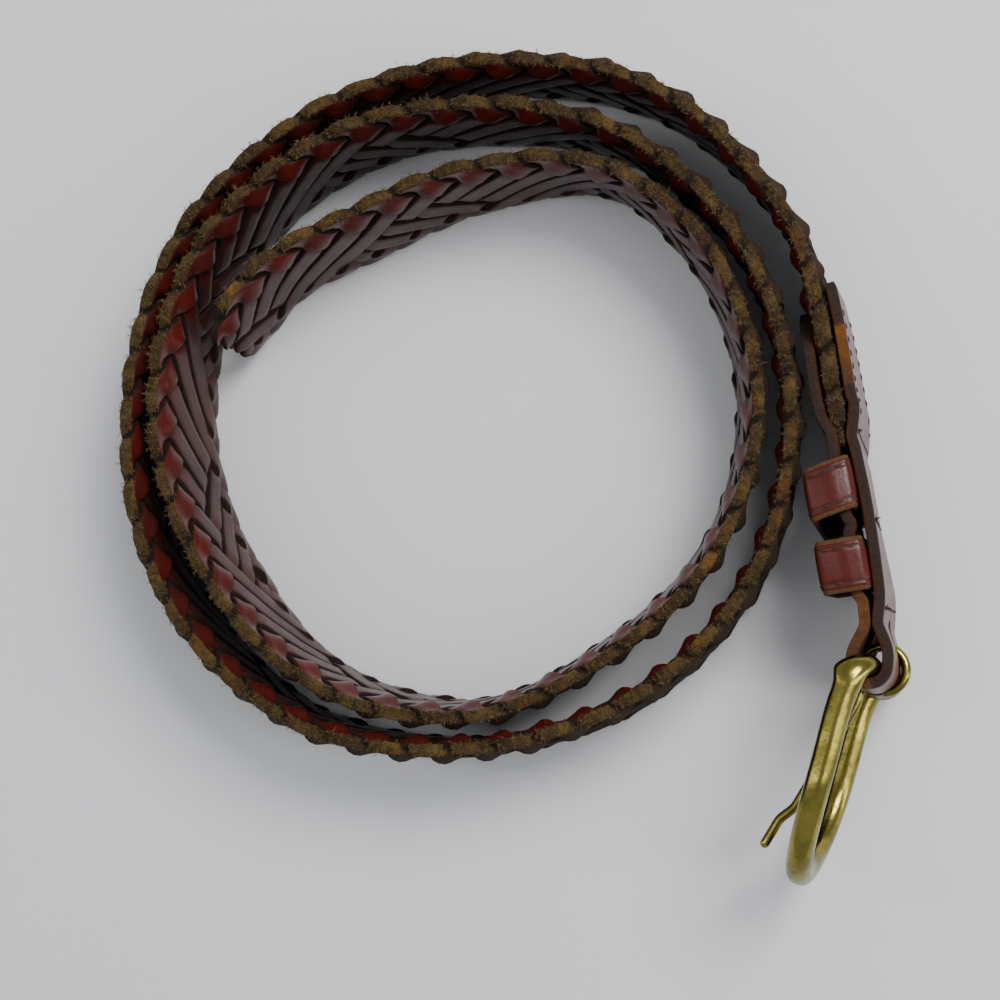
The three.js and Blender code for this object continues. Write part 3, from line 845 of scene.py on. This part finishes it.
def make_frame():
    line = frame_outline()
    for _ in range(3):
        line = (np.roll(line, 1, 0) + 2 * line + np.roll(line, -1, 0)) / 4
    way = unit(np.roll(line, -1, 0) - np.roll(line, 1, 0))
    limb = smooth(line[:, 0], BAR_DIAMETER / 8, LIMB_WIDTH)
    nose = smooth(line[:, 0], FRAME_REACH * NOSE_SWELL_SHARE, FRAME_REACH - NOSE_WIDTH / 2)
    wide = BAR_DIAMETER + (LIMB_WIDTH - BAR_DIAMETER) * limb
    wide = wide + (NOSE_WIDTH - wide) * nose
    thick = BAR_DIAMETER + (LIMB_THICKNESS - BAR_DIAMETER) * limb
    bow = FRAME_BOW * line[:, 0] / FRAME_BOW_AT * np.exp(1 - line[:, 0] / FRAME_BOW_AT)
    shoulder = SHOULDER * np.exp(-((line[:, 0] - SHOULDER_AT) / SHOULDER_SPREAD) ** 2)
    beside_strap = STRAP_WIDTH / 2 + CLEAR / 2
    shoulder = shoulder * smooth(np.abs(line[:, 1]), beside_strap, beside_strap + SHOULDER_RISE)
    thick = thick + shoulder
    bow = bow - shoulder / 2
    sides = FRAME_SIDES
    angle = 2 * np.pi * np.arange(sides) / sides
    power = 2 / FRAME_SQUARENESS
    across = np.sign(np.cos(angle)) * np.abs(np.cos(angle)) ** power
    depth = np.sign(np.sin(angle)) * np.abs(np.sin(angle)) ** power
    rings = np.zeros((len(line), sides, 3))
    rings[:, :, 0] = line[:, 0:1] - way[:, 1:2] * across * wide[:, None] / 2
    rings[:, :, 1] = bow[:, None] + depth * thick[:, None] / 2
    rings[:, :, 2] = line[:, 1:2] + way[:, 0:1] * across * wide[:, None] / 2
    points = moved(rings.reshape(-1, 3), buckle_axes(FRAME_SWING))
    return new_object("buckle_brass", points, tube_faces(len(line), sides, closed_path=True))


def make_prong():
    wire = PRONG_DIAMETER / 2
    eye = [(EYE_RADIUS * math.cos(a) - EYE_BACK, EYE_RADIUS * math.sin(a) + EYE_HANG)
           for a in np.radians(np.linspace(EYE_FROM, EYE_TO, 60))]
    shank = [(EYE_RADIUS + 1.6 * MM, -0.4 * MM), (EYE_RADIUS + 4 * MM, 0)]
    shank += [(PRONG_REACH * share, rise) for share, rise in PRONG_LINE]
    shank.append((PRONG_REACH - wire, PRONG_STEP))
    knots = np.array(eye + shank)
    gone = lengths_along(knots)
    even = np.linspace(0, gone[-1], PRONG_RINGS)
    line = np.stack([np.interp(even, gone, knots[:, axis]) for axis in (0, 1)], 1)
    for _ in range(8):
        line[1:-1] = (line[:-2] + 2 * line[1:-1] + line[2:]) / 4
    way = unit(np.gradient(line, axis=0))
    left = np.minimum(even, even[-1] - even)
    radius = wire * np.sqrt(np.clip(1 - (1 - np.minimum(left / wire, 1)) ** 2, 0.03, 1))
    sides = PRONG_SIDES
    angle = 2 * np.pi * np.arange(sides) / sides
    rings = np.zeros((len(line), sides, 3))
    rings[:, :, 0] = line[:, 0:1] - way[:, 1:2] * np.cos(angle) * radius[:, None]
    rings[:, :, 1] = line[:, 1:2] + way[:, 0:1] * np.cos(angle) * radius[:, None]
    rings[:, :, 2] = np.sin(angle) * radius[:, None]
    points = moved(rings.reshape(-1, 3), buckle_axes(FRAME_SWING + PRONG_SWING))
    return new_object("prong_brass", points, tube_faces(len(line), sides))


# Materials


def tone(red, green, blue):
    """A colour given in screen values from 0 to 255, as the linear values that nodes use."""
    shares = [value / 255 for value in (red, green, blue)]
    return tuple(((s + 0.055) / 1.055) ** 2.4 if s > 0.04 else s / 12.92 for s in shares) + (1,)


class Finish:
    """A material whose nodes are added one call at a time."""

    def __init__(self, name):
        self.material = bpy.data.materials.new(name)
        self.material.use_nodes = True
        self.tree = self.material.node_tree
        self.tree.nodes.clear()
        self.shader = self.add("ShaderNodeBsdfPrincipled")
        output = self.add("ShaderNodeOutputMaterial")
        self.tree.links.new(self.shader.outputs[0], output.inputs["Surface"])
        self.place = self.add("ShaderNodeTexCoord").outputs["Object"]

    def add(self, kind, settings=None, **values):
        node = self.tree.nodes.new(kind)
        for key, value in (settings or {}).items():
            setattr(node, key, value)
        for key, value in values.items():
            self.put(node.inputs[key.replace("_", " ")], value)
        return node

    def put(self, socket, value):
        if isinstance(value, bpy.types.NodeSocket):
            self.tree.links.new(value, socket)
        else:
            socket.default_value = value

    def noise(self, size, detail, roughness=0.55):
        node = self.add("ShaderNodeTexNoise", Scale=1 / size, Detail=detail, Roughness=roughness)
        self.put(node.inputs["Vector"], self.place)
        return node.outputs["Fac"]

    def ramp(self, value, *stops):
        node = self.add("ShaderNodeValToRGB", Fac=value)
        points = node.color_ramp.elements
        while len(points) < len(stops):
            points.new(0.5)
        for point, (where, colour) in zip(points, stops):
            point.position = where
            point.color = colour if isinstance(colour, tuple) else (colour, colour, colour, 1)
        return node.outputs["Color"]

    def mix(self, share, first, second):
        node = self.add("ShaderNodeMix", {"data_type": "RGBA"})
        for socket, value in ((0, share), (6, first), (7, second)):
            self.put(node.inputs[socket], value)
        return node.outputs[2]

    def blend(self, share, first, second):
        node = self.add("ShaderNodeMix")
        for socket, value in ((0, share), (2, first), (3, second)):
            self.put(node.inputs[socket], value)
        return node.outputs[0]

    def math(self, how, first, second):
        node = self.add("ShaderNodeMath", {"operation": how})
        self.put(node.inputs[0], first)
        self.put(node.inputs[1], second)
        return node.outputs[0]

    def mark(self, name):
        return self.add("ShaderNodeAttribute", {"attribute_name": name}).outputs["Fac"]

    def bump(self, height, strength, distance, under=None):
        node = self.add("ShaderNodeBump", Height=height, Strength=strength, Distance=distance)
        if under is not None:
            self.put(node.inputs["Normal"], under)
        return node.outputs["Normal"]

    def finish(self, **values):
        for key, value in values.items():
            self.put(self.shader.inputs[key.replace("_", " ")], value)
        return self.material


class Hide:
    """Colours of one leather: its smooth face, whose duller tones carry a painted sheen, and a clearer red of
    it shown where no sheen is painted, worn spots, dyed cut edge and bare suede.
    """

    def __init__(self, face, bright, worn, dyed, suede, ember, flesh):
        self.face, self.bright, self.worn = face, bright, worn
        self.dyed, self.suede, self.ember, self.flesh = dyed, suede, ember, flesh


def leather(name, hide, gloss, specular):
    """Smooth grain on the face, dyed cut sides, fibrous suede where the rim mark says, flesh on the back."""
    look = Finish(name)
    patch = look.ramp(look.noise(24 * MM, 3), (0.34, 0.0), (0.66, 1.0))
    streak = look.ramp(look.noise(5 * MM, 5, 0.65), (0.3, 0.0), (0.72, 1.0))
    fibre = look.ramp(look.noise(0.5 * MM, 6, 0.75), (0.3, 0.0), (0.7, 1.0))
    blotch = look.ramp(look.noise(4.5 * MM, 4, 0.65), (0.36, 0.0), (0.64, 1.0))
    tuft = look.math("MULTIPLY", fibre, look.ramp(look.noise(2.6 * MM, 5, 0.7), (0.38, 0.1), (0.62, 1.0)))
    face = look.mix(patch, hide.face[0], hide.face[1])
    # Painted sheen: toward the top edge the face turns to the clear red. Elsewhere it keeps the duller
    # mauve-brown, which stands in for the pale sheen that the bars show at grazing angles. How much red shows
    # also varies in random patches.
    near_edge = look.ramp(look.mark("height"), (0.3, 0.0), (0.62, 1.0))
    unsheened_red_share = look.math("MULTIPLY", near_edge, look.math("ADD", look.math("MULTIPLY", patch, 0.6), 0.12))
    face = look.mix(unsheened_red_share, face, hide.bright)
    face = look.mix(look.math("MULTIPLY", streak, 0.4), face, hide.face[2])
    rub = look.ramp(look.noise(1.6 * MM, 6, 0.7), (0.62, 0.0), (0.74, 1.0))
    face = look.mix(look.math("MULTIPLY", rub, 0.3), face, hide.worn)
    ragged = look.math("MULTIPLY", look.math("SUBTRACT", fibre, 0.5), 0.4)
    bare = look.mark("rim")
    seam = look.ramp(bare, (0.04, 0.0), (0.55, 1.0))
    side = look.ramp(look.math("ADD", look.mark("cut"), ragged), (0.4, 0.0), (0.6, 1.0))
    rim = look.math("ADD", look.math("MULTIPLY", bare, 0.75), look.math("MULTIPLY", look.mark("cut"), 0.3))
    rim = look.math("MULTIPLY", look.math("ADD", rim, ragged), look.ramp(bare, (0.02, 0.0), (0.3, 1.0)))
    rim = look.ramp(rim, (0.52, 0.0), (0.72, 1.0))
    suede = look.mix(blotch, hide.suede[0], hide.suede[1])
    suede = look.mix(look.math("MULTIPLY", tuft, 0.75), suede, hide.suede[2])
    ember = look.ramp(look.noise(7 * MM, 3, 0.6), (0.56, 0.0), (0.68, 1.0))
    suede = look.mix(look.math("MULTIPLY", ember, 0.45), suede, hide.ember)
    # Random patches of the suede turn darker, toward the darker dyed tone.
    darker_patches = look.ramp(look.noise(11 * MM, 4, 0.6), (0.42, 0.0), (0.62, 1.0))
    suede = look.mix(look.math("MULTIPLY", darker_patches, 0.7), suede, hide.dyed[1])
    back = look.mix(fibre, hide.flesh[0], hide.flesh[1])
    behind = look.ramp(look.mark("under"), (0.4, 0.0), (0.75, 1.0))
    colour = look.mix(side, face, look.mix(fibre, hide.dyed[0], hide.dyed[1]))
    colour = look.mix(behind, colour, back)
    suede = look.mix(seam, hide.dyed[0], suede)
    colour = look.mix(rim, colour, suede)
    dark = look.math("MULTIPLY", look.mark("groove"), 0.8)
    colour = look.mix(dark, colour, hide.dyed[0])
    coarse = look.math("MAXIMUM", rim, look.math("MAXIMUM", behind, look.math("MULTIPLY", side, 0.8)))
    smooth_face = look.math("ADD", gloss, look.math("MULTIPLY", streak, 0.14))
    smooth_face = look.math("SUBTRACT", smooth_face, look.math("MULTIPLY", unsheened_red_share, 0.08))
    roughness = look.blend(coarse, smooth_face, 0.95)
    pores = look.add("ShaderNodeTexVoronoi", Scale=1 / (0.42 * MM), Vector=look.place).outputs["Distance"]
    normal = look.bump(pores, 0.12, 0.05 * MM)
    normal = look.bump(look.noise(1.9 * MM, 5, 0.6), 0.3, 0.18 * MM, normal)
    shaggy = look.bump(look.noise(0.32 * MM, 6, 0.8), 1.0, 0.6 * MM)
    shaggy = look.bump(look.noise(1.2 * MM, 4, 0.6), 0.9, 0.6 * MM, shaggy)
    joined = look.add("ShaderNodeMix", {"data_type": "VECTOR"})
    for socket, value in ((0, coarse), (4, normal), (5, shaggy)):
        look.put(joined.inputs[socket], value)
    return look.finish(Base_Color=colour, Roughness=roughness, Normal=joined.outputs[1],
                       Specular_IOR_Level=specular)


def brass(name):
    look = Finish(name)
    patina = look.ramp(look.noise(9 * MM, 5, 0.62), (0.36, 0.0), (0.64, 1.0))
    speck = look.ramp(look.noise(1.1 * MM, 6, 0.7), (0.55, 0.0), (0.72, 1.0))
    colour = look.mix(patina, tone(150, 140, 68), tone(96, 86, 38))
    colour = look.mix(look.math("MULTIPLY", speck, 0.5), colour, tone(62, 52, 24))
    scratch = look.noise(0.5 * MM, 4, 0.6)
    roughness = look.math("ADD", 0.13, look.math("MULTIPLY", patina, 0.15))
    roughness = look.math("ADD", roughness, look.math("MULTIPLY", speck, 0.16))
    normal = look.bump(scratch, 0.12, 0.06 * MM)
    normal = look.bump(look.noise(4 * MM, 3), 0.2, 0.4 * MM, normal)
    return look.finish(Base_Color=colour, Metallic=1.0, Roughness=roughness, Normal=normal)


def thread(name, dark, light):
    look = Finish(name)
    twist = look.ramp(look.noise(0.4 * MM, 4, 0.7), (0.3, 0.0), (0.7, 1.0))
    normal = look.bump(twist, 0.8, 0.15 * MM)
    return look.finish(Base_Color=look.mix(twist, dark, light), Roughness=0.7, Normal=normal)


def pale_floor():
    look = Finish("pale_floor")
    cloud = look.noise(90 * MM, 3)
    colour = look.mix(cloud, tone(205, 206, 208), tone(212, 212, 214))
    return look.finish(Base_Color=colour, Roughness=0.6)


BRAID_HIDE = Hide(
    # The face tones are dulled toward mauve-brown as a painted sheen; the clearer red below is the grain
    # without it.
    face=(tone(62, 25, 22), tone(54, 26, 24), tone(42, 20, 18)),
    bright=tone(90, 17, 9),
    worn=tone(104, 60, 48),
    dyed=(tone(16, 8, 6), tone(44, 28, 16)),
    suede=(tone(32, 23, 12), tone(62, 45, 22), tone(142, 112, 58)),
    ember=tone(132, 84, 28),
    flesh=(tone(34, 22, 16), tone(68, 50, 32)),
)
STRAP_HIDE = Hide(
    face=(tone(84, 34, 28), tone(74, 29, 25), tone(56, 24, 21)),
    bright=tone(84, 34, 28),
    worn=tone(112, 66, 56),
    dyed=(tone(30, 20, 18), tone(58, 42, 34)),
    suede=(tone(84, 44, 14), tone(116, 66, 20), tone(150, 98, 38)),
    ember=tone(138, 70, 14),
    flesh=(tone(50, 26, 14), tone(80, 44, 24)),
)
KEEPER_HIDE = Hide(
    face=(tone(76, 17, 8), tone(64, 14, 7), tone(52, 12, 6)),
    bright=tone(76, 17, 8),
    worn=tone(128, 60, 44),
    dyed=(tone(52, 32, 18), tone(96, 66, 36)),
    suede=(tone(74, 52, 28), tone(96, 68, 36), tone(116, 86, 48)),
    ember=tone(104, 58, 28),
    flesh=(tone(60, 34, 18), tone(98, 62, 34)),
)
BRAID_LEATHER = leather("braid_leather", BRAID_HIDE, 0.26, 0.24)
STRAP_LEATHER = leather("strap_leather", STRAP_HIDE, 0.28, 0.28)
KEEPER_LEATHER = leather("keeper_leather", KEEPER_HIDE, 0.24, 0.26)
FUZZ = thread("suede_fuzz", tone(58, 44, 24), tone(140, 114, 64))
THREAD_FINISH = thread("oxblood_thread", tone(30, 10, 9), tone(66, 24, 19))
BRASS = brass("aged_brass")


def dress(piece, material, body, replaced=None):
    piece.data.materials.clear()
    piece.data.materials.append(material)
    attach(piece, body)
    if replaced:
        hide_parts(replaced)


def build_belt():
    strands = [braid_strand(index) for index in range(STRANDS)]
    for piece in strands:
        dress(piece, BRAID_LEATHER, "belt", "braid_band")
    dress(fuzz_on(strands, FIBRES), FUZZ, "belt")
    dress(buckle_strap(), STRAP_LEATHER, "belt", "buckle_strap")
    dress(strap_stitches(), THREAD_FINISH, "belt")
    dress(thread_ends(), THREAD_FINISH, "belt")
    for keeper in KEEPERS:
        dress(make_keeper(keeper), KEEPER_LEATHER, "belt", keeper["name"])
        dress(keeper_stitches(keeper), THREAD_FINISH, "belt")
    dress(make_frame(), BRASS, "buckle", "buckle_frame")
    dress(make_prong(), BRASS, "tongue", "prong")


# Stage, light and camera

FLOOR_SIDE = 12.0
CAMERA_PLACE = Vector((65.556, -25.901, 429.64)) * MM
CAMERA_TARGET = Vector((0.339, -8.51, 31.14)) * MM
CAMERA_LENS = 66.93
CAMERA_SENSOR = 36
PICTURE_UP = Vector((0, 1, 0))
ROOM_COLOUR = (0.93, 0.96, 1.0, 1)
ROOM_STRENGTH = 0.55
LIGHTS = [
    dict(name="key", place=(0.5, 0.5, 0.9), wide=0.5, tall=0.5, power=13.0),
    dict(name="window", place=(0.62, -0.1, 0.45), wide=0.16, tall=1.1, power=2.4),
    dict(name="fill", place=(-0.55, 0.1, 0.6), wide=0.12, tall=1.1, power=1.6),
]


def make_floor():
    side = FLOOR_SIDE / 2
    mesh = bpy.data.meshes.new("floor")
    corners = [(-side, -side, 0), (side, -side, 0), (side, side, 0), (-side, side, 0)]
    mesh.from_pydata(corners, [], [(0, 1, 2, 3)])
    floor = bpy.data.objects.new("floor", mesh)
    bpy.context.scene.collection.objects.link(floor)
    mesh.materials.append(pale_floor())


def area_light(name, place, wide, tall, power):
    """A soft light that faces the middle of the floor."""
    data = bpy.data.lights.new(name, "AREA")
    data.shape = "RECTANGLE"
    data.size = wide
    data.size_y = tall
    data.energy = power
    light = bpy.data.objects.new(name, data)
    light.location = place
    light.rotation_euler = (-Vector(place)).to_track_quat("-Z", "Y").to_euler()
    bpy.context.scene.collection.objects.link(light)


def make_light():
    world = bpy.data.worlds.new("pale_room")
    world.use_nodes = True
    back = world.node_tree.nodes["Background"]
    back.inputs["Color"].default_value = ROOM_COLOUR
    back.inputs["Strength"].default_value = ROOM_STRENGTH
    bpy.context.scene.world = world
    for light in LIGHTS:
        area_light(**light)


def make_camera():
    data = bpy.data.cameras.new("camera")
    data.lens = CAMERA_LENS
    data.sensor_width = CAMERA_SENSOR
    data.clip_start = 0.01
    camera = bpy.data.objects.new("camera", data)
    ahead = (CAMERA_TARGET - CAMERA_PLACE).normalized()
    right = ahead.cross(PICTURE_UP).normalized()
    up = right.cross(ahead)
    camera.matrix_world = Matrix.Translation(CAMERA_PLACE) @ Matrix((right, up, -ahead)).transposed().to_4x4()
    bpy.context.scene.collection.objects.link(camera)
    bpy.context.scene.camera = camera


make_camera()
make_light()
make_floor()
build_belt()
